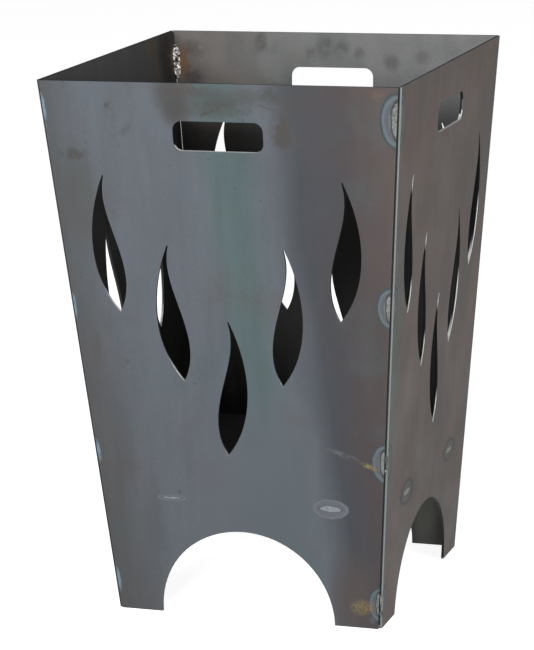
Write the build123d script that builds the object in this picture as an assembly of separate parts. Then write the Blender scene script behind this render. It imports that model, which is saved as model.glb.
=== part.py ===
from build123d import *
import math
import os

# A free-standing fire basket: four sloping steel panels, tack-welded at the corners from the
# inside, around a floor plate that is tack-welded to them from below.
# Millimetres. Z is up, the feet stand on Z = 0, the middle of the floor area is the origin,
# and the front panel faces -Y.

# Overall size, over the outer faces of the panels
rim_width = 402.0
foot_width = 304.0
panel_length = 600.0  # up the slope, from the feet to the rim
plate_thickness = 3.0
root_gap = 0.15  # left open between the inner edges of two neighbouring panels

# Hand slot, near the rim of every panel
slot_width = 100.0
slot_height = 32.0
slot_corner_radius = 10.0
slot_below_rim = 40.5

# Arch between the feet of every panel
arch_radius = 100.0
arch_springing = 1.5  # straight part of its sides, below the half circle

# Flame openings. Positions and heights are shares of the panel's length and of the rim's width,
# so the pattern keeps its place between the arch and the slot.
flame_height = 0.253 * panel_length
pair_tip_heights = (0.831, 0.706)  # outer pair, then inner pair
pair_tip_offsets = (0.331, 0.162)  # sideways from the panel's middle line
middle_tip_height = 0.569
middle_tip_offset = 0.004
# One flame, as (sideways, up) shares of its own height from its lower point
flame_tip = (0.062, 1.0)
flame_full_edge = ((0.121, 0.2), (0.176, 0.52), (0.139, 0.79))
flame_hollow_edge = ((0.072, 0.86), (0.004, 0.553), (-0.059, 0.26))
flame_tip_width = 1.6  # the width of the cut itself, which rounds the tip

# Floor plate
floor_underside_height = 139.0
floor_clearance = 1.0  # to the panels, all round
floor_corner_cut = 14.0

# Weld beads
bead_leg = 7.5  # along each of the two faces it joins
bead_crown = 1.2  # how far its face bulges past the straight line between its toes
corner_bead_length = 42.0
floor_bead_length = 30.0
# Middles of the two floor beads of each side, left and right of the panel's middle line, and
# centres of the four beads of each corner, as shares of the panel's length up the seam.
# All are set by hand, so no two sides or corners quite agree.
floor_bead_offsets = {
    "front": (-80.0, 102.0),
    "right": (-81.0, 90.0),
    "back": (-88.0, 93.0),
    "left": (-92.0, 84.0),
}
corner_bead_heights = {
    "front_right": (0.047, 0.318, 0.606, 0.940),
    "back_right": (0.055, 0.314, 0.597, 0.946),
    "back_left": (0.050, 0.322, 0.602, 0.939),
    "front_left": (0.058, 0.310, 0.587, 0.952),
}

# The sides in turn around the Z axis, and whether the plate is turned over on that side,
# which mirrors its pattern
sides = {"front": False, "right": True, "back": False, "left": True}
corners = ("front_right", "back_right", "back_left", "front_left")

# Derived sizes
lean = math.asin((rim_width - foot_width) / 2 / panel_length)
total_height = panel_length * math.cos(lean)
edge_set_back = plate_thickness + root_gap
inner_foot_width = foot_width - 2 * plate_thickness / math.cos(lean)
floor_room = inner_foot_width + 2 * floor_underside_height * math.tan(lean)
floor_width = floor_room - 2 * floor_clearance


def on_side(shape, turn):
    """Carry a shape made for the front on to the side that many quarter turns round."""
    return Rot(0, 0, 90 * turn) * shape


def panel_plane():
    """The front panel's outer face: X across it, Y up its slope, Z out of it."""
    outward = (0, -math.cos(lean), -math.sin(lean))
    return Plane(origin=(0, -foot_width / 2, 0), x_dir=(1, 0, 0), z_dir=outward)


def panel_outline():
    """A panel's trapezoid, run on past both ends so that they can be trimmed level."""
    spare = plate_thickness
    slope = (rim_width - foot_width) / 2 / panel_length
    low = foot_width / 2 - edge_set_back - spare * slope
    high = rim_width / 2 - edge_set_back + spare * slope
    top = panel_length + spare
    return make_face(Polyline((-low, -spare), (low, -spare), (high, top), (-high, top), close=True))


def hand_slot():
    """The rounded slot a hand lifts the basket by."""
    middle = panel_length - slot_below_rim - slot_height / 2
    return Pos(0, middle) * RectangleRounded(slot_width, slot_height, slot_corner_radius)


def foot_arch():
    """The half-round arch that leaves a foot at each end of a panel."""
    reach = plate_thickness  # below the panel, so that nothing is left of its lower edge
    sides_height = arch_springing + reach
    straight = Pos(0, (arch_springing - reach) / 2) * Rectangle(2 * arch_radius, sides_height)
    return straight + Pos(0, arch_springing) * Circle(arch_radius)


def flame():
    """One flame with its lower point at the origin, full edge to the right."""
    tip_across, tip_up = (flame_height * share for share in flame_tip)
    tip_radius = flame_tip_width / 2
    full_end = (tip_across + tip_radius, tip_up - tip_radius)
    hollow_end = (tip_across - tip_radius, tip_up - tip_radius)
    full = [(flame_height * across, flame_height * up) for across, up in flame_full_edge]
    hollow = [(flame_height * across, flame_height * up) for across, up in flame_hollow_edge]
    full_edge = Spline((0, 0), *full, full_end)
    tip_round = ThreePointArc(full_end, (tip_across, tip_up), hollow_end)
    hollow_edge = Spline(hollow_end, *hollow, (0, 0))
    return make_face(full_edge + tip_round + hollow_edge)


def flames():
    """The five flames of a panel: two mirrored pairs and one in the middle."""
    shape = flame()
    mirrored = mirror(shape, Plane.YZ)
    tip_across = flame_height * flame_tip[0]
    middle_across = -rim_width * middle_tip_offset - tip_across
    middle_up = panel_length * middle_tip_height - flame_height
    placed = [Pos(middle_across, middle_up) * shape]
    for share_up, share_across in zip(pair_tip_heights, pair_tip_offsets):
        up = panel_length * share_up - flame_height
        across = rim_width * share_across - tip_across
        placed.append(Pos(across, up) * shape)
        placed.append(Pos(-across, up) * mirrored)
    return placed


def panel(turned_over):
    """The front panel: one plate, cut out flat, leaned outwards and trimmed level."""
    face = panel_outline() - hand_slot() - foot_arch()
    for opening in flames():
        face -= opening
    if turned_over:
        face = mirror(face, Plane.YZ)
    plate = extrude(panel_plane() * face, amount=-plate_thickness)
    level_zone = Pos(0, 0, total_height / 2) * Box(2 * rim_width, 2 * rim_width, total_height)
    return plate & level_zone


def inside_space():
    """Everything between the inner faces of the four panels, as one tapered block."""
    lower_end = Rectangle(inner_foot_width, inner_foot_width)
    return extrude(lower_end, amount=total_height, taper=-math.degrees(lean))


def floor_plate():
    """The plate the fire is laid on, a plain square with clipped corners."""
    blank = Rectangle(floor_width, floor_width)
    plate = chamfer(blank.vertices(), floor_corner_cut)
    return Pos(0, 0, floor_underside_height) * extrude(plate, amount=plate_thickness)


def bead_rod(length):
    """A round-ended rod along X whose part inside a right-angled corner is one weld bead.

    The corner's line is the X axis and its two faces look towards -Y and -Z.
    """
    half_chord = bead_leg / math.sqrt(2)
    radius = (half_chord**2 + bead_crown**2) / (2 * bead_crown)
    beyond_corner = radius - bead_crown - half_chord
    end_reach = math.sqrt(radius**2 - beyond_corner**2)
    end = length / 2 - end_reach
    diagonal = radius / math.sqrt(2)
    outline = Line((-end - radius, 0), (end + radius, 0))
    outline += ThreePointArc((end + radius, 0), (end + diagonal, diagonal), (end, radius))
    outline += Line((end, radius), (-end, radius))
    outline += ThreePointArc((-end, radius), (-end - diagonal, diagonal), (-end - radius, 0))
    rod = revolve(make_face(outline), Axis.X)
    shift = beyond_corner / math.sqrt(2)
    return Pos(0, shift, shift) * rod


def corner_bead(share_up):
    """A bead up the inside of the front right corner."""
    root = inner_foot_width / 2
    gain = math.tan(lean)
    up_seam = Vector(gain, -gain, 1).normalized()
    height = total_height * share_up
    centre = (root + height * gain, -root - height * gain, height)
    seam = Plane(origin=centre, x_dir=up_seam, z_dir=(1, 0, -gain))
    return seam * bead_rod(corner_bead_length)


def floor_bead(across):
    """A bead in the corner between the floor plate's underside and the front panel."""
    root = Pos(across, -floor_room / 2, floor_underside_height)
    return root * Rot(0, 0, 180) * bead_rod(floor_bead_length)


def basket():
    """Every piece of the basket, in place, under its own name."""
    inside = inside_space()
    half_drop = floor_underside_height / 2
    below_floor = inside & Pos(0, 0, half_drop) * Box(rim_width, rim_width, 2 * half_drop)
    pieces = {"floor_plate": floor_plate()}
    for turn, (side, turned_over) in enumerate(sides.items()):
        pieces[f"{side}_panel"] = on_side(panel(turned_over), turn)
        for number, across in enumerate(floor_bead_offsets[side], start=1):
            bead = floor_bead(across) & below_floor
            pieces[f"floor_weld_{side}_{number}"] = on_side(bead, turn)
    for turn, corner in enumerate(corners):
        for number, share_up in enumerate(corner_bead_heights[corner], start=1):
            bead = corner_bead(share_up) & inside
            pieces[f"corner_weld_{corner}_{number}"] = on_side(bead, turn)
    return pieces


os.makedirs("parts", exist_ok=True)
for node, shape in basket().items():
    export_step(shape, f"parts/{node}.step")
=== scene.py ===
from collections import namedtuple
import math
import bmesh
import bpy
from mathutils import Matrix, Vector, noise


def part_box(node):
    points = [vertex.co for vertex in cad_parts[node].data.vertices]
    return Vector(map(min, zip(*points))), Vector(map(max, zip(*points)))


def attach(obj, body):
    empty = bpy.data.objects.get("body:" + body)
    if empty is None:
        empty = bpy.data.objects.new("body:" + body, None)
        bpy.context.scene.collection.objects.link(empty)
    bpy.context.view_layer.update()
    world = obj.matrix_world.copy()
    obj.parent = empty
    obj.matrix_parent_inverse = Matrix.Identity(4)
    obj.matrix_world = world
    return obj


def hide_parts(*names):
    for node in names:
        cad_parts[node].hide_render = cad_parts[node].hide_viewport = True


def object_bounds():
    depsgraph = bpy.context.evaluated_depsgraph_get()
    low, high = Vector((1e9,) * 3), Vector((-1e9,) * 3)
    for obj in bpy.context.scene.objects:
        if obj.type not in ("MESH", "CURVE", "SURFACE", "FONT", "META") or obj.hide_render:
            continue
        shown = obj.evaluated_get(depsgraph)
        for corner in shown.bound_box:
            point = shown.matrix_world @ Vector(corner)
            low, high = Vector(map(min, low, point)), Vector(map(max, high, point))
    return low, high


# The looks of a fire basket of raw steel plate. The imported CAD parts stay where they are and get
# their steel; the smooth weld beads are replaced by rippled ones. Metres, Z up, front towards -Y.

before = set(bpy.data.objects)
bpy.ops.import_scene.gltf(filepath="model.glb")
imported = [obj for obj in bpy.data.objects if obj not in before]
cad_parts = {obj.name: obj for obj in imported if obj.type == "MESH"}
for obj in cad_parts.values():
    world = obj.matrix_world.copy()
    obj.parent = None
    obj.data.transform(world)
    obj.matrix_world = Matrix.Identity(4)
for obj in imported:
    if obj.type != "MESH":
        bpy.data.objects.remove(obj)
cad_low, cad_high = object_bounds()

sides = ("front", "right", "back", "left")
corners = ("front_right", "back_right", "back_left", "front_left")
beads_per_corner = 4
beads_per_side = 2

# Camera, as the photograph was taken: a long lens a little above the rim. Its place, the way it
# looks, and the way that is right in its view
camera_place = Vector((1.0028, -2.9056, 1.0221))
camera_forward = Vector((-0.32348, 0.91787, -0.22996))
camera_right = Vector((0.94504, 0.32560, -0.02977))
camera_lens = 155.8  # millimetres, on a sensor 36 millimetres along the long side

# Studio lights: place, the point they look at, width and height, and watts
lights = {
    "key_light": ((-0.3, -3.5, 1.25), (0, 0, 0.45), (1.7, 0.7), 140),
    "side_light": ((3.3, -0.9, 0.85), (0, 0, 0.40), (2.0, 0.8), 62),
    "top_light": ((0.0, -0.2, 2.8), (0, 0, 0.5), (1.2, 1.2), 7),
}
# How strongly the surround and the floor glow, and how wide the floor is
surround_strength = 0.08
floor_glow = 0.88
floor_span = 40

# Steel colours, linear red, green and blue
blue_grey = (0.048, 0.056, 0.067)
teal_grey = (0.035, 0.057, 0.060)
slate_grey = (0.017, 0.020, 0.026)
plum_grey = (0.024, 0.017, 0.019)
brown_grey = (0.038, 0.027, 0.024)
olive_grey = (0.029, 0.030, 0.026)
ash_grey = (0.030, 0.030, 0.030)
pale_grey = (0.115, 0.117, 0.116)
worn_grey = (0.075, 0.076, 0.075)
rosy_grey = (0.098, 0.088, 0.083)
weld_silver = (0.780, 0.760, 0.740)
soot_brown = (0.022, 0.018, 0.016)
soot_grey = (0.019, 0.019, 0.017)
# Near-black: painted shade on the edges in the seams' notches, and also a few real dark specks
shade_and_speck_black = (0.007, 0.008, 0.009)
rust_grey = (0.047, 0.0325, 0.0275)
rust_plum = (0.044, 0.0315, 0.0295)
rust_dark = (0.030, 0.023, 0.019)
rust_olive = (0.038, 0.042, 0.035)
dull_blue = (0.036, 0.038, 0.042)
# On the cut faces, the first of the next two colours is painted shade, on their inner part and where
# they look down, and the second a painted highlight where they look out and up
cut_shade_black = (0.005, 0.005, 0.005)
cut_highlight_white = (0.900, 0.920, 0.900)
# Painted highlight colour on the arrises
arris_highlight = (0.200, 0.208, 0.205)
straw = (0.130, 0.110, 0.030)
rust = (0.130, 0.060, 0.020)
haze = (0.064, 0.074, 0.080)
glint = (0.110, 0.165, 0.215)
# Painted pool of light on the inside of the back panel's leg
lit_leg_green = (0.085, 0.092, 0.075)

# Colour across each panel's outer face, left to right, as (place, colour)
outer_streaks = {
    "front": ((0.0, ash_grey), (0.12, dull_blue), (0.22, blue_grey), (0.44, blue_grey),
              (0.51, teal_grey), (0.58, teal_grey), (0.65, blue_grey), (0.76, slate_grey),
              (0.86, plum_grey), (1.0, brown_grey)),
    "right": ((0.0, rust_olive), (0.10, rust_grey), (0.45, rust_grey), (0.60, rust_plum),
              (0.75, rust_grey), (1.0, rust_grey)),
    "back": ((0.0, brown_grey), (0.25, olive_grey), (0.55, blue_grey), (1.0, teal_grey)),
    "left": ((0.0, blue_grey), (0.35, teal_grey), (0.60, olive_grey), (1.0, plum_grey)),
}
# Colour across each panel's inner face, left to right as the outer face is seen
inner_streaks = {
    "front": ((0.0, brown_grey), (0.5, pale_grey), (1.0, brown_grey)),
    "right": ((0.0, brown_grey), (0.5, blue_grey), (1.0, pale_grey)),
    "back": ((0.0, pale_grey), (0.72, pale_grey), (0.88, rosy_grey), (1.0, rosy_grey)),
    "left": ((0.0, brown_grey), (0.15, worn_grey), (0.6, worn_grey), (1.0, worn_grey)),
}
# How shiny each side's scale is: share of metal, and strength of the gloss over the rest
side_metal = {"front": 0.35, "right": 0.05, "back": 0.20, "left": 0.20}
side_gloss = {"front": 0.50, "right": 0.20, "back": 0.40, "left": 0.40}
# How far a cut edge has to look up to get the painted highlight, and not the painted shade: from where,
# and fully from where
cut_highlight_from = {
    "front": (0.20, 0.60),
    "right": (-0.05, 0.15),
    "back": (0.15, 0.50),
    "left": (0.15, 0.50),
}
# How strong the painted highlight on the arrises is where they don't look up
arris_highlight_share = {"front": 0.10, "right": 0.40, "back": 0.20, "left": 0.20}
# Colours of the sheared edges beside the seams, along the rim and under the feet: near-black on the
# front and left, painted shade where those edges face into the seams' notches, and pale on the right, a
# painted highlight
sheared_edge_light_and_shade = {
    "front": shade_and_speck_black,
    "right": (0.150, 0.165, 0.170),
    "back": (0.060, 0.062, 0.062),
    "left": shade_and_speck_black,
}

# Blots on one face of one panel, each as (across, up, half width, half height, tilt, depth, colour),
# with across as the outer face is seen. First the patchy stains and finger marks
stains = {
    ("front", "outside"): (
        (-0.036, 0.592, 0.024, 0.009, 0.0, 0.60, brown_grey),
        (0.010, 0.574, 0.040, 0.014, 0.1, 0.50, soot_grey),
        (-0.030, 0.590, 0.036, 0.008, 0.0, 0.50, soot_brown),
        (0.040, 0.586, 0.035, 0.008, -0.1, 0.60, olive_grey),
        (0.071, 0.545, 0.014, 0.023, 0.1, 1.0, soot_grey),
        (0.071, 0.550, 0.010, 0.015, 0.1, 0.8, soot_brown),
        (0.088, 0.578, 0.022, 0.016, 0.3, 0.6, soot_brown),
        (0.064, 0.588, 0.018, 0.010, 0.1, 0.8, soot_grey),
        (-0.122, 0.573, 0.004, 0.003, 0.4, 0.75, soot_brown),
        (-0.118, 0.568, 0.010, 0.012, 0.0, 0.50, olive_grey),
        (-0.104, 0.545, 0.014, 0.005, 0.9, 0.35, soot_brown),
        (-0.164, 0.519, 0.018, 0.008, 0.0, 0.80, soot_grey),
        (-0.158, 0.516, 0.005, 0.004, 0.3, 0.60, soot_brown),
        (-0.140, 0.330, 0.008, 0.020, 0.1, 0.35, olive_grey),
        (-0.120, 0.290, 0.004, 0.003, 0.0, 0.50, brown_grey),
        (0.120, 0.198, 0.020, 0.0034, -0.32, 0.60, haze),
        (0.143, 0.010, 0.004, 0.0050, 0.0, 0.75, blue_grey),
        (-0.194, 0.566, 0.0022, 0.0190, 0.08, 0.85, glint),
        (-0.177, 0.350, 0.0022, 0.0150, 0.08, 0.80, glint),
        (-0.162, 0.185, 0.0022, 0.0130, 0.08, 0.80, glint),
        (-0.150, 0.034, 0.0022, 0.0150, 0.08, 0.80, glint),
    ),
    ("right", "outside"): (
        (0.030, 0.500, 0.014, 0.060, 0.0, 0.25, soot_brown),
        (-0.060, 0.300, 0.020, 0.080, 0.0, 0.30, soot_brown),
        (-0.105, 0.590, 0.004, 0.018, 0.0, 0.50, soot_brown),
        (0.010, 0.180, 0.040, 0.060, 0.0, 0.30, soot_brown),
        (-0.070, 0.215, 0.003, 0.0025, 0.0, 1.0, shade_and_speck_black),
        (-0.020, 0.185, 0.003, 0.0020, 0.0, 1.0, shade_and_speck_black),
        (0.060, 0.530, 0.006, 0.0250, 0.2, 0.5, soot_brown),
        (-0.110, 0.460, 0.005, 0.0300, 0.1, 0.5, soot_brown),
    ),
    ("back", "inside"): (
        (-0.110, 0.571, 0.011, 0.009, 0.0, 0.40, soot_brown),
        (-0.073, 0.565, 0.012, 0.010, 0.3, 0.55, soot_brown),
        (-0.033, 0.575, 0.007, 0.008, 0.0, 0.50, soot_brown),
        (-0.013, 0.578, 0.011, 0.013, 0.2, 0.50, soot_brown),
        (0.009, 0.583, 0.011, 0.014, 0.0, 0.45, soot_brown),
        (0.027, 0.572, 0.008, 0.010, 0.5, 0.50, soot_brown),
        (0.050, 0.574, 0.024, 0.020, 0.2, 0.45, rosy_grey),
        (0.087, 0.586, 0.009, 0.015, 0.0, 0.60, soot_brown),
        (0.183, 0.562, 0.009, 0.026, 0.0, 0.85, rust),
        (0.172, 0.578, 0.016, 0.012, 0.4, 0.60, soot_brown),
        (0.172, 0.545, 0.014, 0.014, 0.0, 0.60, soot_brown),
    ),
    ("left", "inside"): (
        (-0.128, 0.570, 0.014, 0.050, 0.0, 0.40, rust),
    ),
}
# Smooth smudges
smudges = {
    ("front", "outside"): (
        (-0.050, 0.585, 0.021, 0.034, 0.10, 0.80, soot_grey),
        (-0.042, 0.565, 0.018, 0.014, 0.0, 0.60, soot_grey),
        (0.020, 0.150, 0.080, 0.120, 0.0, 0.75, blue_grey),
        (0.105, 0.480, 0.040, 0.110, -0.1, 0.40, slate_grey),
        (0.125, 0.030, 0.030, 0.0600, 0.0, 0.75, brown_grey),
        (-0.158, 0.470, 0.022, 0.060, 0.0, 0.60, olive_grey),
        (-0.010, 0.578, 0.050, 0.018, 0.05, 0.50, soot_grey),
    ),
    ("right", "outside"): (
        (0.000, 0.110, 0.170, 0.130, 0.0, 0.60, rust_dark),
        (-0.155, 0.330, 0.024, 0.130, 0.06, 0.90, rust_olive),
        (0.125, 0.400, 0.016, 0.100, -0.06, 0.70, rust_olive),
    ),
    ("back", "inside"): (
        # A pale green patch low on the inside of the back panel: a painted pool of light beside the
        # shade there
        (-0.115, 0.045, 0.018, 0.060, 0.0, 0.75, lit_leg_green),
    ),
    ("left", "inside"): (
        (-0.168, 0.570, 0.026, 0.050, 0.0, 0.80, soot_brown),
    ),
}
# Speckled scorches
scorches = {
    ("front", "outside"): (
        (0.147, 0.187, 0.010, 0.0032, -0.32, 0.80, straw),
        (0.153, 0.185, 0.004, 0.0032, -0.32, 0.70, rust),
        (0.131, 0.024, 0.013, 0.0095, 0.1, 0.70, straw),
        (0.139, 0.025, 0.007, 0.0070, 0.2, 0.75, rust),
        (0.174, 0.590, 0.009, 0.0050, 0.0, 0.30, rust),
    ),
}
# Curved scratches from handling, on the outer faces: (across, up, radius)
scratches = {
    "front": (
        (-0.006, 0.545, 0.0300),
        (-0.004, 0.541, 0.0370),
        (0.024, 0.549, 0.0210),
        (0.012, 0.520, 0.0515),
        (0.030, 0.498, 0.0800),
        (0.016, 0.515, 0.0600),
    ),
    "right": ((-0.020, 0.440, 0.0900),),
    "back": ((0.020, 0.480, 0.0700),),
    "left": ((-0.040, 0.500, 0.0600),),
}

# Heat marks of the corner beads on the outer faces, bottom to top: half width and half height
corner_mark_sizes = {
    "front_right": ((0.0140, 0.0210), (0.0165, 0.0230), (0.0165, 0.0240), (0.0205, 0.0310)),
    "back_right": ((0.0110, 0.0200), (0.0130, 0.0220), (0.0120, 0.0230), (0.0130, 0.0240)),
    "back_left": ((0.0150, 0.0220), (0.0160, 0.0240), (0.0150, 0.0230), (0.0180, 0.0280)),
    "front_left": ((0.0048, 0.0180), (0.0048, 0.0170), (0.0050, 0.0175), (0.0056, 0.0200)),
}
# Heat marks of the floor plate's beads, left and right on each outer face, in the same measures
floor_mark_sizes = {
    "front": ((0.0170, 0.0040), (0.0205, 0.0115)),
    "right": ((0.0250, 0.0150), (0.0240, 0.0135)),
    "back": ((0.0190, 0.0105), (0.0200, 0.0110)),
    "left": ((0.0180, 0.0110), (0.0210, 0.0100)),
}
# How much of the corner marks' colours each side keeps
mark_tones = {
    "front": (1.0, 1.0, 1.0),
    "right": (0.72, 0.66, 0.60),
    "back": (0.85, 0.90, 0.95),
    "left": (0.90, 0.95, 1.0),
}
# Looks of the marks. The halo's colours run from its middle out, and the print's from the hollows
# to the crests of the bead behind. The print takes up the named share of the halo's width and height.
corner_style = {
    "halo": (
        (0.0, (0.070, 0.080, 0.080)),
        (0.50, (0.060, 0.068, 0.072)),
        (0.60, (0.040, 0.045, 0.053)),
        (0.72, (0.046, 0.056, 0.064)),
        (0.82, (0.064, 0.080, 0.087)),
        (0.88, (0.034, 0.050, 0.056)),
        (0.94, (0.010, 0.019, 0.024)),
        (1.0, (0.020, 0.025, 0.028)),
    ),
    "print": (
        (0.32, (0.040, 0.036, 0.042)),
        (0.46, (0.082, 0.098, 0.084)),
        (0.66, (0.150, 0.142, 0.150)),
    ),
    "outline": (0.016, 0.013, 0.017),
    "share": (0.40, 0.72),
}
pale_style = {
    "halo": (
        (0.0, (0.052, 0.056, 0.070)),
        (0.80, (0.056, 0.062, 0.074)),
        (0.90, (0.078, 0.085, 0.096)),
        (0.96, (0.056, 0.062, 0.072)),
        (1.0, (0.050, 0.054, 0.064)),
    ),
    "print": (
        (0.25, (0.085, 0.093, 0.108)),
        (0.50, (0.120, 0.132, 0.148)),
        (0.75, (0.170, 0.182, 0.195)),
    ),
    "outline": (0.040, 0.043, 0.052),
    "share": (0.66, 0.30),
}
dark_style = {
    "halo": (
        (0.0, (0.024, 0.026, 0.022)),
        (0.68, (0.030, 0.033, 0.028)),
        (0.78, (0.012, 0.013, 0.011)),
        (0.90, (0.003, 0.003, 0.003)),
        (1.0, (0.012, 0.011, 0.010)),
    ),
    "print": (
        (0.25, (0.070, 0.080, 0.070)),
        (0.50, (0.105, 0.115, 0.102)),
        (0.75, (0.140, 0.150, 0.132)),
    ),
    "outline": (0.003, 0.003, 0.003),
    "share": (0.52, 0.26),
}
floor_mark_styles = {
    "front": pale_style,
    "right": dark_style,
    "back": dark_style,
    "left": pale_style,
}
# Scorched plate beside the corner beads, inside, from their middle out
corner_scorch = (
    (0.0, (0.050, 0.026, 0.014)),
    (0.50, (0.160, 0.070, 0.022)),
    (0.66, (0.110, 0.070, 0.030)),
    (0.85, (0.070, 0.060, 0.068)),
    (1.0, (0.090, 0.085, 0.082)),
)
# Weld metal colours, laid along a noise: near-black, brown, silver, violet-grey and near-black again
bright_weld = (
    (0.34, (0.024, 0.021, 0.020)),
    (0.42, (0.110, 0.085, 0.060)),
    (0.47, (0.640, 0.600, 0.560)),
    (0.60, weld_silver),
    (0.66, (0.180, 0.175, 0.195)),
    (0.74, (0.036, 0.034, 0.044)),
)
burnt_weld = (
    (0.36, (0.010, 0.010, 0.010)),
    (0.48, (0.070, 0.075, 0.070)),
    (0.58, (0.160, 0.168, 0.160)),
    (0.70, (0.030, 0.030, 0.030)),
)
# Near-black colours for strips in the open roots of the seams: painted shade where the gap between the
# plates is dark
root_shade = (
    (0.30, (0.006, 0.006, 0.006)),
    (0.55, (0.016, 0.015, 0.014)),
    (0.75, (0.030, 0.024, 0.018)),
)
# The stretches of each corner's root that get these dark strips, as heights
shaded_roots = {
    "front_right": ((0.002, 0.592),),
    "back_right": ((0.002, 0.300),),
    "back_left": ((0.002, 0.300), (0.562, 0.597)),
    "front_left": ((0.002, 0.300), (0.420, 0.592)),
}
# Drips of weld metal on the outside of the front right seam: the bead they are level with, how far
# above its middle, and half their size each way
drips = (
    (1, 0.006, (0.0016, 0.0016, 0.0060)),
    (1, -0.010, (0.0013, 0.0013, 0.0030)),
    (2, -0.007, (0.0021, 0.0021, 0.0026)),
    (2, 0.004, (0.0012, 0.0012, 0.0050)),
)

# A weld's line: its middle, its direction, and the ways out of it along the two faces it joins
WeldLine = namedtuple("WeldLine", "middle along out_a out_b")


def middle_of(node):
    """The middle of a CAD node."""
    low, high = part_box(node)
    return (low + high) / 2


def inner_corner():
    """How far out the panels' inner faces are at the feet, and how much further per metre up."""
    tops = [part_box(f"corner_weld_front_right_{number}")[1] for number in (1, beads_per_corner)]
    gain = (tops[1].x - tops[0].x) / (tops[1].z - tops[0].z)
    return tops[0].x - gain * tops[0].z, gain


def plate_thickness():
    """Of the steel plate that everything is cut from."""
    low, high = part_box("floor_plate")
    return high.z - low.z


def turned(point, turn):
    """A point or direction carried from the side that many quarter turns round to the front."""
    return Matrix.Rotation(-turn * math.pi / 2, 3, "Z") @ Vector(point)


def turned_box(node, turn):
    """A node's lowest and highest corners, carried round to the front."""
    ends = [turned(end, turn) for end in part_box(node)]
    return Vector(min(pair) for pair in zip(*ends)), Vector(max(pair) for pair in zip(*ends))


def carried(line, turn):
    """A weld's line carried from the front to the side that many quarter turns round."""
    return WeldLine(*(turned(part, -turn) for part in line))


class Steel:
    """One material's node tree, built from short calls. Values may be sockets or plain numbers."""

    def __init__(self, name):
        self.material = bpy.data.materials.new(name)
        self.material.use_nodes = True
        self.tree = self.material.node_tree
        self.shader = self.tree.nodes["Principled BSDF"]

    def node(self, kind, inputs=(), **settings):
        made = self.tree.nodes.new(kind)
        for key, value in settings.items():
            setattr(made, key, value)
        for place, value in enumerate(inputs):
            self.plug(made.inputs[place], value)
        return made

    def plug(self, socket, value):
        if value is None:
            return
        if isinstance(value, bpy.types.NodeSocket):
            self.tree.links.new(value, socket)
        elif isinstance(value, (tuple, Vector)) and socket.type == "RGBA":
            socket.default_value = (*value[:3], 1.0)
        else:
            socket.default_value = value

    def plug_named(self, made, **values):
        """Plug inputs by their names, with underscores for spaces."""
        for name, value in values.items():
            self.plug(made.inputs[name.replace("_", " ")], value)

    def maths(self, operation, first, second=None, third=None, clamp=False):
        made = self.node("ShaderNodeMath", (first, second, third), operation=operation)
        made.use_clamp = clamp
        return made.outputs[0]

    def vector(self, operation, first, second=None, third=None):
        made = self.node("ShaderNodeVectorMath", (first, second, third), operation=operation)
        return made.outputs["Value" if operation == "LENGTH" else "Vector"]

    def mix(self, share, first, second, blend="MIX"):
        share_input, first_input, second_input = 0, 6, 7  # of the node's colour form
        made = self.node("ShaderNodeMix", data_type="RGBA", blend_type=blend)
        self.plug(made.inputs[share_input], share)
        self.plug(made.inputs[first_input], first)
        self.plug(made.inputs[second_input], second)
        return made.outputs[2]

    def ramp(self, value, stops):
        """A colour, or a plain grey number, for each place along a value."""
        made = self.node("ShaderNodeValToRGB", (value,))
        elements = made.color_ramp.elements
        while len(elements) < len(stops):
            elements.new(0.5)
        for element, (place, colour) in zip(elements, stops):
            element.position = place
            element.color = (*colour, 1.0) if isinstance(colour, tuple) else (colour,) * 3 + (1.0,)
        return made.outputs["Color"]

    def step(self, value, low, high):
        """0 below low, 1 above high, smooth in between; turned round where low is the larger."""
        made = self.node("ShaderNodeMapRange", interpolation_type="SMOOTHSTEP")
        self.plug_named(made, Value=value, From_Min=low, From_Max=high)
        return made.outputs["Result"]

    def noise(self, place, scale, detail=3.0, roughness=0.5, output="Fac"):
        made = self.node("ShaderNodeTexNoise")
        self.plug_named(made, Vector=place, Scale=scale, Detail=detail, Roughness=roughness)
        return made.outputs[output]

    def bump(self, height, strength, distance, normal=None):
        made = self.node("ShaderNodeBump")
        self.plug_named(made, Height=height, Strength=strength, Distance=distance, Normal=normal)
        return made.outputs["Normal"]

    def places(self, turn=0):
        """Object coordinates and the surface's normal, both carried round to the front."""
        angle = -turn * math.pi / 2
        found = []
        for socket in (self.node("ShaderNodeTexCoord").outputs["Object"],
                       self.node("ShaderNodeNewGeometry").outputs["Normal"]):
            spin = self.node("ShaderNodeVectorRotate", (socket,), rotation_type="Z_AXIS")
            spin.inputs["Angle"].default_value = angle
            found.append(spin.outputs[0])
        return found

    def split(self, vector):
        return self.node("ShaderNodeSeparateXYZ", (vector,)).outputs[:]

    def oval(self, flat, across, up, half_width, half_height, tilt=0.0):
        """How far away an upright oval on the front is, 0 in its middle and 1 at its rim."""
        through = 1000.0  # so long through the plate that it marks both faces alike
        made = self.node("ShaderNodeMapping", (flat,), vector_type="TEXTURE")
        made.inputs["Location"].default_value = (across, 0, up)
        made.inputs["Rotation"].default_value = (0, -tilt, 0)
        made.inputs["Scale"].default_value = (half_width, through, half_height)
        return self.vector("LENGTH", made.outputs[0])

    def nearest(self, flat, marks):
        """How far the nearest of some ovals is. Marks: (across, up, half width, half height)."""
        away = self.oval(flat, *marks[0])
        for mark in marks[1:]:
            away = self.maths("MINIMUM", away, self.oval(flat, *mark))
        return away


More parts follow.
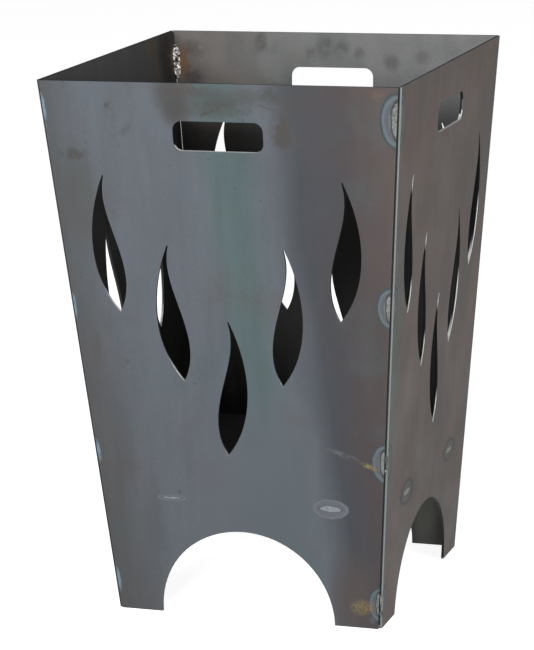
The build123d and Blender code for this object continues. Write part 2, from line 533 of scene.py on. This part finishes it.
def corner_marks(turn):
    """Heat marks beside one panel's corner beads, at the beads' own heights on the panel's edges."""
    marks = []
    for corner in (corners[turn], corners[turn - 1]):
        for number, (half_width, half_height) in enumerate(corner_mark_sizes[corner], start=1):
            low, high = turned_box(f"corner_weld_{corner}_{number}", turn)
            place = (low + high) / 2
            edge = math.copysign(abs(place.x) + (high.x - low.x) / 2, place.x)
            marks.append((edge, place.z, half_width, half_height))
    return marks


def floor_marks(side, turn):
    """Heat marks where the floor plate's beads are, on the other face of the panel."""
    marks = []
    for number, (half_width, half_height) in enumerate(floor_mark_sizes[side], start=1):
        place = turned(middle_of(f"floor_weld_{side}_{number}"), turn)
        marks.append((place.x, place.z, half_width, half_height))
    return marks


def rolled_colour(steel, side, share, shifted, inner, up):
    """The rolled sheet's colour: wide soft streaks up its length, blotches, grain and specks, and
    painted shade low down on the inner faces.
    """
    stretched = steel.vector("MULTIPLY", shifted, Vector((1.0, 1.0, 0.22)))
    wander = steel.noise(stretched, 9.0, 3.0)
    wobble = steel.maths("MULTIPLY_ADD", wander, 0.24, -0.12)
    # The streaks lean a little
    drift = steel.maths("MULTIPLY_ADD", up, 0.22, -0.08)
    place = steel.maths("ADD", steel.maths("ADD", share, drift), wobble)
    inside = steel.ramp(place, inner_streaks[side])
    # Lower down the inner faces are darker: painted shade inside the basket, below where the light comes
    # in over the rim
    depth = steel.step(up, 0.43, 0.53)
    inside = steel.mix(1.0, inside, steel.ramp(depth, ((0.0, 0.18), (1.0, 1.0))), "MULTIPLY")
    colour = steel.mix(inner, steel.ramp(place, outer_streaks[side]), inside)

    # Broad blotches, teal where the noise is high and brown where it is low
    blotch_strength = 0.30
    broad = steel.noise(shifted, 14.0, 4.0, 0.55)
    blotch = steel.maths("MULTIPLY", steel.step(broad, 0.52, 0.75), blotch_strength)
    colour = steel.mix(blotch, colour, teal_grey)
    blotch = steel.maths("MULTIPLY", steel.step(broad, 0.46, 0.28), blotch_strength)
    colour = steel.mix(blotch, colour, brown_grey)
    # Narrow smears left by the rolls
    drawn = steel.vector("MULTIPLY", shifted, Vector((1.0, 1.0, 0.14)))
    smears = steel.ramp(steel.noise(drawn, 55.0, 2.0, 0.5), ((0.30, 0.90), (0.50, 1.0), (0.70, 1.08)))
    colour = steel.mix(1.0, colour, smears, "MULTIPLY")
    # Grain, and specks of soot
    fine = steel.noise(shifted, 420.0, 4.0, 0.65)
    colour = steel.mix(1.0, colour, steel.ramp(fine, ((0.25, 0.86), (0.75, 1.12))), "MULTIPLY")
    specks = steel.step(steel.noise(shifted, 150.0, 2.0, 0.4), 0.74, 0.78)
    colour = steel.mix(steel.maths("MULTIPLY", specks, 0.6), colour, soot_brown)
    return colour, broad, fine


def ringed(steel, colour, flat, marks, style, tone=(1.0, 1.0, 1.0)):
    """Heat marks on a face: coloured rings, and the print of the bead behind in their middle."""
    halo_rim = (1.06, 0.94)
    print_rim = (1.14, 1.02)
    outline_start = (0.82, 0.95)
    away = steel.nearest(flat, marks)
    halo = steel.mix(1.0, steel.ramp(away, style["halo"]), tone, "MULTIPLY")
    colour = steel.mix(steel.step(away, *halo_rim), colour, halo)
    wide, high = style["share"]
    prints = [(x, z, half_width * wide, half_height * high) for x, z, half_width, half_height in marks]
    near = steel.nearest(flat, prints)
    mottle = steel.noise(flat, 380.0, 3.0, 0.6)
    inside = steel.mix(1.0, steel.ramp(mottle, style["print"]), tone, "MULTIPLY")
    bead_print = steel.mix(steel.step(near, *outline_start), inside, style["outline"])
    return steel.mix(steel.step(near, *print_rim), colour, bead_print)


def scorched(steel, colour, turn, place, flat, inner):
    """Straw, brown and violet scorching beside the corner beads, on a panel's inner face."""
    away = steel.nearest(flat, corner_marks(turn))
    patches = steel.step(steel.noise(place, 60.0, 3.0), 0.30, 0.50)
    reach = steel.maths("MULTIPLY", inner, steel.step(away, 1.05, 0.70))
    scorch = steel.ramp(away, corner_scorch)
    return steel.mix(steel.maths("MULTIPLY", reach, patches), colour, scorch)


def blotted(steel, colour, side, flat, inner, blots, broken):
    """Soft-edged spots on one panel, each on one face, broken up where broken is low."""
    soft_rim = (1.25, 0.35)
    faces = {"outside": steel.maths("SUBTRACT", 1.0, inner), "inside": inner}
    for face, facing in faces.items():
        for middle, height, half_across, half_up, tilt, depth, tint in blots.get((side, face), ()):
            away = steel.oval(flat, middle, height, half_across, half_up, tilt)
            soft = steel.maths("MULTIPLY", steel.step(away, *soft_rim), depth)
            uneven = steel.maths("MULTIPLY", soft, broken)
            colour = steel.mix(steel.maths("MULTIPLY", uneven, facing), colour, tint)
    return colour


def scratched(steel, colour, side, flat, inner, wander):
    """Curved scratches on one panel's outer face: the upper parts of thin broken rings."""
    scratch_strength = 0.60
    faint_from, dark_from = 0.0016, 0.0004  # away from the middle of the line
    outer = steel.maths("SUBTRACT", 1.0, inner)
    for middle, height, radius in scratches[side]:
        away = steel.oval(flat, middle, height, radius, radius)
        off_line = steel.maths("ABSOLUTE", steel.maths("SUBTRACT", away, 1.0))
        line = steel.step(off_line, faint_from / radius, dark_from / radius)
        broken = steel.maths("MULTIPLY", line, steel.step(wander, 0.46, 0.60))
        above = steel.step(steel.split(flat)[2], height, height + 0.5 * radius)
        faint = steel.maths("MULTIPLY", broken, steel.maths("MULTIPLY", outer, above))
        colour = steel.mix(steel.maths("MULTIPLY", faint, scratch_strength), colour, soot_brown)
    return colour


def stained(steel, colour, side, shifted, flat, inner):
    """Finger marks, stains, scorches and scratches on one panel."""
    wander = steel.noise(shifted, 55.0, 4.0, 0.6)
    speckles = steel.step(steel.noise(flat, 500.0, 4.0, 0.7), 0.42, 0.56)
    patches = steel.step(wander, 0.34, 0.52)
    patches = steel.maths("MULTIPLY", patches, steel.maths("MULTIPLY_ADD", speckles, 0.30, 0.70))
    colour = blotted(steel, colour, side, flat, inner, stains, patches)
    colour = blotted(steel, colour, side, flat, inner, scorches, speckles)
    return scratched(steel, colour, side, flat, inner, wander)


def edge_colour(steel, side, place, upward):
    """The plate's edges: cut openings with a painted highlight on their outer part and where they look
    up and painted shade on the rest, and duller sheared ones round the outline, painted as shade on some
    sides and as highlight on others.
    """
    outline_reach = 0.005  # inwards from where the inner faces meet
    level_reach = 0.002  # below the rim and above the ground
    across, along, up = steel.split(place)
    half_width, gain = inner_corner()
    thickness = plate_thickness()
    inner_face = steel.maths("MULTIPLY_ADD", up, gain, half_width)
    outwards = steel.maths("SUBTRACT", steel.maths("MULTIPLY", along, -1.0), inner_face)

    # A cut edge gets a painted highlight on its outer part, and all through where it looks up; the rest
    # gets painted shade
    near_outside = steel.step(outwards, 0.55 * thickness, 0.80 * thickness)
    looking_up = steel.step(upward, 0.35, 0.60)
    highlit = steel.maths("MULTIPLY", steel.step(upward, *cut_highlight_from[side]), near_outside)
    cut = steel.mix(steel.maths("MAXIMUM", highlit, looking_up), cut_shade_black, cut_highlight_white)
    lines = steel.noise(steel.vector("MULTIPLY", place, Vector((1.0, 0.05, 1.0))), 900.0, 2.0)
    cut = steel.mix(1.0, cut, steel.ramp(lines, ((0.3, 0.75), (0.7, 1.10))), "MULTIPLY")

    # In a seam the edge is painted black where it dips into the notch, as painted shade, and takes its
    # side's colour further out
    dull = tuple(0.7 * part for part in sheared_edge_light_and_shade[side])
    sheared = steel.mix(lines, dull, sheared_edge_light_and_shade[side])
    notch_shade = steel.step(outwards, 0.25 * thickness, 0.50 * thickness)
    sheared = steel.mix(notch_shade, shade_and_speck_black, sheared)

    outline = steel.maths("MULTIPLY_ADD", up, gain, half_width - outline_reach)
    in_seam = steel.maths("GREATER_THAN", steel.maths("ABSOLUTE", across), outline)
    at_rim = steel.maths("GREATER_THAN", up, cad_high.z - level_reach)
    at_feet = steel.maths("LESS_THAN", up, level_reach)
    outline_edge = steel.maths("MAXIMUM", in_seam, steel.maths("MAXIMUM", at_rim, at_feet))
    return steel.mix(outline_edge, cut, sheared)


def panel_steel(side, turn):
    """Raw hot-rolled plate with its mill scale, heat marks, stains and cut edges."""
    steel = Steel(f"mill_scale_{side}")
    place, normal = steel.places(turn)
    across, _, up = steel.split(place)
    _, through, upward = steel.split(normal)
    inner = steel.step(through, 0.3, 0.6)
    squareness = steel.maths("ABSOLUTE", through)
    # Each side gets its own stretch of the noise
    shifted = steel.vector("ADD", place, Vector((3.7 * turn, 1.3 * turn, 2.1 * turn)))
    share = steel.maths("MULTIPLY_ADD", across, 0.5 / cad_high.x, 0.5)
    colour, broad, fine = rolled_colour(steel, side, share, shifted, inner, up)

    # Marks on the faces, with uneven outlines
    stir = steel.noise(place, 150.0, 3.0, 0.5, "Color")
    moved = steel.vector("MULTIPLY_ADD", stir, Vector((0.003,) * 3), Vector((-0.0015,) * 3))
    flat = steel.vector("ADD", place, moved)
    plain = blotted(steel, colour, side, flat, inner, smudges, 1.0)
    marked = ringed(steel, plain, flat, corner_marks(turn), corner_style, mark_tones[side])
    marked = ringed(steel, marked, flat, floor_marks(side, turn), floor_mark_styles[side])
    colour = steel.mix(inner, marked, plain)
    colour = scorched(steel, colour, turn, place, flat, inner)
    colour = stained(steel, colour, side, shifted, flat, inner)

    # Edges, and the arrises between them and the faces, which get a painted highlight, stronger where
    # they look up
    edge = edge_colour(steel, side, place, upward)
    colour = steel.mix(steel.step(squareness, 0.35, 0.75), edge, colour)
    off_edge = steel.step(squareness, 0.15, 0.40)
    off_face = steel.step(squareness, 0.985, 0.90)
    arris = steel.maths("MULTIPLY", off_edge, off_face)
    arris_light = steel.maths("MULTIPLY_ADD", steel.step(upward, 0.05, 0.50), 0.50, arris_highlight_share[side])
    colour = steel.mix(steel.maths("MULTIPLY", arris, arris_light), colour, arris_highlight)

    rough = steel.maths("MULTIPLY_ADD", broad, 0.28, 0.36)
    rough = steel.maths("MULTIPLY_ADD", fine, 0.14, rough, clamp=True)
    steel.plug(steel.shader.inputs["Base Color"], colour)
    steel.plug(steel.shader.inputs["Roughness"], rough)
    steel.shader.inputs["Metallic"].default_value = side_metal[side]
    steel.shader.inputs["Specular IOR Level"].default_value = side_gloss[side]
    skin = steel.bump(steel.noise(shifted, 60.0, 5.0, 0.6), 0.25, 0.0006)
    steel.plug(steel.shader.inputs["Normal"], steel.bump(fine, 0.25, 0.00012, skin))
    return steel.material


def floor_steel():
    """The floor plate's scale: even and dark, with cleaner edges."""
    steel = Steel("mill_scale_floor")
    place, normal = steel.places()
    upright = steel.maths("ABSOLUTE", steel.split(normal)[2])
    broad = steel.noise(place, 11.0, 4.0, 0.55)
    fine = steel.noise(place, 380.0, 4.0, 0.65)
    colour = steel.mix(steel.step(broad, 0.35, 0.65), brown_grey, blue_grey)
    colour = steel.mix(1.0, colour, steel.ramp(fine, ((0.25, 0.82), (0.75, 1.12))), "MULTIPLY")
    lines = steel.noise(steel.vector("MULTIPLY", place, Vector((1.0, 1.0, 0.05))), 900.0, 2.0)
    dark, light = (tuple(tone * part for part in cut_highlight_white) for tone in (0.2, 0.3))
    edge = steel.mix(lines, dark, light)
    colour = steel.mix(steel.step(upright, 0.35, 0.75), edge, colour)
    steel.plug(steel.shader.inputs["Base Color"], colour)
    steel.plug(steel.shader.inputs["Roughness"], steel.maths("MULTIPLY_ADD", broad, 0.25, 0.42))
    steel.shader.inputs["Metallic"].default_value = 0.35
    steel.plug(steel.shader.inputs["Normal"], steel.bump(fine, 0.3, 0.00015))
    return steel.material


def weld_metal(name, colours, metallic, roughness):
    """Rippled weld metal, or scale, with its own colours laid along a noise."""
    steel = Steel(name)
    place, _ = steel.places()
    broad = steel.noise(place, 210.0, 3.0, 0.6)
    fine = steel.noise(place, 1400.0, 3.0, 0.6)
    steel.plug(steel.shader.inputs["Base Color"], steel.ramp(broad, colours))
    steel.plug(steel.shader.inputs["Roughness"], steel.maths("MULTIPLY_ADD", fine, 0.25, roughness))
    steel.shader.inputs["Metallic"].default_value = metallic
    steel.plug(steel.shader.inputs["Normal"], steel.bump(fine, 0.35, 0.0002))
    return steel.material


def weld_object(name, mesh, material):
    """A finished mesh of weld metal as a smooth-shaded piece that rides on the basket."""
    data = bpy.data.meshes.new(name)
    mesh.to_mesh(data)
    mesh.free()
    for face in data.polygons:
        face.use_smooth = True
    data.materials.append(material)
    piece = bpy.data.objects.new(name, data)
    bpy.context.scene.collection.objects.link(piece)
    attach(piece, "root")
    return piece


def bead_reach(size, run, turn, wave, lump_place):
    """How far a bead's skin is from its root, at one place along it and round it."""
    ripple_pitch = 0.0052
    ripple_bow = 0.0030  # how far the middle of a ripple runs ahead of its ends
    ripple_height = 0.20
    lump_height = 0.16
    middle = math.sin(math.pi * turn)
    phase = (run + ripple_bow * middle) / ripple_pitch + 0.4 * wave
    ripple = ripple_height * ((phase % 1.0) ** 1.5 - 0.4) * middle
    lump = lump_height * noise.noise(lump_place)
    return size * (1 - 0.18 * middle + ripple + lump * middle)


def rippled_bead(name, line, length, leg, material, seed, root_place=0.0002):
    """A weld bead in the corner between two faces, laid as overlapping ripples.

    root_place is how far along both faces the bead's own root lies from the corner's line.
    """
    rings = 96
    points_round = 13
    end_size = 0.08
    mesh = bmesh.new()
    sections = []
    for ring in range(rings + 1):
        share = ring / rings
        run = (share - 0.5) * length
        on_line = line.middle + line.along * run
        blunt = math.sqrt(max(0.0, 1 - abs(2 * share - 1) ** 5))
        wave = noise.noise(Vector((run * 160, seed, 0.0)))
        size = leg * (end_size + (1 - end_size) * blunt) * (0.96 + 0.14 * wave)
        section = [mesh.verts.new(on_line + (line.out_a + line.out_b) * root_place)]
        for step in range(points_round):
            turn = step / (points_round - 1)
            angle = turn * math.pi / 2
            outward = line.out_a * math.cos(angle) + line.out_b * math.sin(angle)
            lump_place = Vector((run * 420, step * 0.7, seed * 3.1))
            reach = bead_reach(size, run, turn, wave, lump_place)
            section.append(mesh.verts.new(on_line + outward * reach))
        sections.append(section)
    for before, after in zip(sections, sections[1:]):
        for place in range(len(before)):
            following = (place + 1) % len(before)
            mesh.faces.new((before[place], before[following], after[following], after[place]))
    mesh.faces.new(list(reversed(sections[0])))
    mesh.faces.new(sections[-1])
    bmesh.ops.remove_doubles(mesh, verts=mesh.verts, dist=0.00002)
    bmesh.ops.recalc_face_normals(mesh, faces=mesh.faces)
    return weld_object(name, mesh, material)


def corner_beads(material):
    """The beads up the inside of each corner, in place of the smooth CAD ones."""
    for turn, corner in enumerate(corners):
        boxes = {}
        for number in range(1, beads_per_corner + 1):
            boxes[number] = turned_box(f"corner_weld_{corner}_{number}", turn)
        tops = {number: Vector((high.x, low.y, high.z)) for number, (low, high) in boxes.items()}
        seam = (tops[beads_per_corner] - tops[1]).normalized()
        for number, (low, high) in boxes.items():
            length = high.z - low.z
            leg = high.x - low.x - seam.x * length
            middle = tops[number] - seam * length / 2
            line = carried(WeldLine(middle, seam, (-1, 0, 0), (0, 1, 0)), turn)
            node = f"corner_weld_{corner}_{number}"
            bead = rippled_bead(f"{node}_rippled", line, length, leg, material, 10 * turn + number)
            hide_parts(node)


def seam_shade_strips(material):
    """Thin black strips in the open roots of the corners, over the stretches listed: painted shade in
    the seams.
    """
    root_leg = 0.0012
    into_gap = -0.0002
    half_width, gain = inner_corner()
    seam = Vector((gain, -gain, 1)).normalized()
    for turn, corner in enumerate(corners):
        for number, (low, high) in enumerate(shaded_roots[corner], start=1):
            up = (low + high) / 2
            out = half_width + gain * up
            line = carried(WeldLine((out, -out, up), seam, (-1, 0, 0), (0, 1, 0)), turn)
            rippled_bead(f"seam_shade_strip_{corner}_{number}", line, high - low, root_leg, material,
                         10 * turn + number, into_gap)


def burn_through(name, place, size, material, seed):
    """A blob of weld metal that ran out through the open root of a seam."""
    mesh = bmesh.new()
    bmesh.ops.create_icosphere(mesh, subdivisions=4, radius=1.0)
    for vertex in mesh.verts:
        lumps = 1.0 + 0.35 * noise.noise(vertex.co * 1.7 + Vector((seed, 0, 0)))
        grain = 0.08 * noise.noise(vertex.co * 6.0 + Vector((0, seed, 0)))
        vertex.co = place + Vector(c * s for c, s in zip(vertex.co * (lumps + grain), size))
    weld_object(name, mesh, material)


def burn_throughs(material):
    """The blobs on the outside of the front right seam, level with its two lower beads."""
    into_notch = 0.0019  # outwards from the inner corner, along each face
    half_width, gain = inner_corner()
    for seed, (number, above, size) in enumerate(drips, start=1):
        up = middle_of(f"corner_weld_front_right_{number}").z + above
        out = half_width + gain * up + into_notch
        burn_through(f"burn_through_{seed}", Vector((out, -out, up)), size, material, seed)


def floor_beads(material):
    """The beads under the floor plate's rim, in place of the smooth CAD ones."""
    down_wall = Vector((0, 0.08, -1)).normalized()
    first_seed = 50
    for turn, side in enumerate(sides):
        for number in range(1, beads_per_side + 1):
            node = f"floor_weld_{side}_{number}"
            low, high = turned_box(node, turn)
            root = ((low.x + high.x) / 2, low.y, high.z)
            line = carried(WeldLine(root, (1, 0, 0), (0, 1, 0), down_wall), turn)
            seed = first_seed + 10 * turn + number
            bead = rippled_bead(f"{node}_rippled", line, high.x - low.x, high.y - low.y, material, seed)
            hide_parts(node)


def dress_plates():
    """Steel on the panels and the floor plate, with their laser-cut edges just broken."""
    materials = {f"{side}_panel": panel_steel(side, turn) for turn, side in enumerate(sides)}
    materials["floor_plate"] = floor_steel()
    for name, material in materials.items():
        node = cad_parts[name]
        node.data.materials.clear()
        node.data.materials.append(material)
        bevel = node.modifiers.new("broken_edge", "BEVEL")
        bevel.width = 0.0003
        bevel.segments = 2
        bevel.limit_method = "ANGLE"
        bevel.angle_limit = math.radians(40)
        bevel.harden_normals = True


def studio_floor():
    """A wide pale floor at the feet."""
    bpy.ops.mesh.primitive_plane_add(size=floor_span, location=(0, 0, cad_low.z))
    floor = bpy.context.object
    floor.name = "studio_floor"
    paint = Steel("studio_white")
    paint.plug(paint.shader.inputs["Base Color"], (0.9, 0.9, 0.9))
    paint.shader.inputs["Roughness"].default_value = 0.9
    paint.plug(paint.shader.inputs["Emission Color"], (1.0, 1.0, 1.0))
    paint.shader.inputs["Emission Strength"].default_value = floor_glow
    floor.data.materials.append(paint.material)


def softbox(name, place, aim, size, power):
    """One rectangular studio light looking at a point."""
    light = bpy.data.lights.new(name, "AREA")
    light.shape = "RECTANGLE"
    light.size, light.size_y = size
    light.energy = power
    lamp = bpy.data.objects.new(name, light)
    lamp.location = place
    lamp.rotation_euler = (Vector(aim) - Vector(place)).to_track_quat("-Z", "Y").to_euler()
    bpy.context.scene.collection.objects.link(lamp)


def studio():
    """Soft light from the front, the right and above, and a pale surround."""
    for name, settings in lights.items():
        softbox(name, *settings)
    world = bpy.data.worlds.new("studio_air")
    world.use_nodes = True
    background = world.node_tree.nodes["Background"]
    background.inputs["Color"].default_value = (1.0, 1.0, 1.0, 1.0)
    background.inputs["Strength"].default_value = surround_strength
    bpy.context.scene.world = world
    bpy.context.scene.view_settings.view_transform = "Standard"


def camera():
    """A camera at the viewing angle named at the top."""
    lens = bpy.data.cameras.new("camera")
    lens.lens = camera_lens
    lens.clip_end = 100
    viewer = bpy.data.objects.new("camera", lens)
    up = camera_right.cross(camera_forward)
    turn = Matrix((camera_right, up, -camera_forward)).transposed()
    viewer.matrix_world = Matrix.Translation(camera_place) @ turn.to_4x4()
    bpy.context.scene.collection.objects.link(viewer)
    bpy.context.scene.camera = viewer


dress_plates()
weld = weld_metal("weld_metal", bright_weld, 0.9, 0.20)
corner_beads(weld)
floor_beads(weld)
burn_throughs(weld_metal("burnt_weld", burnt_weld, 0.5, 0.35))
# Dark strips in the seams' open roots: painted shade
seam_shade_strips(weld_metal("root_shade", root_shade, 0.2, 0.55))
studio_floor()
studio()
camera()
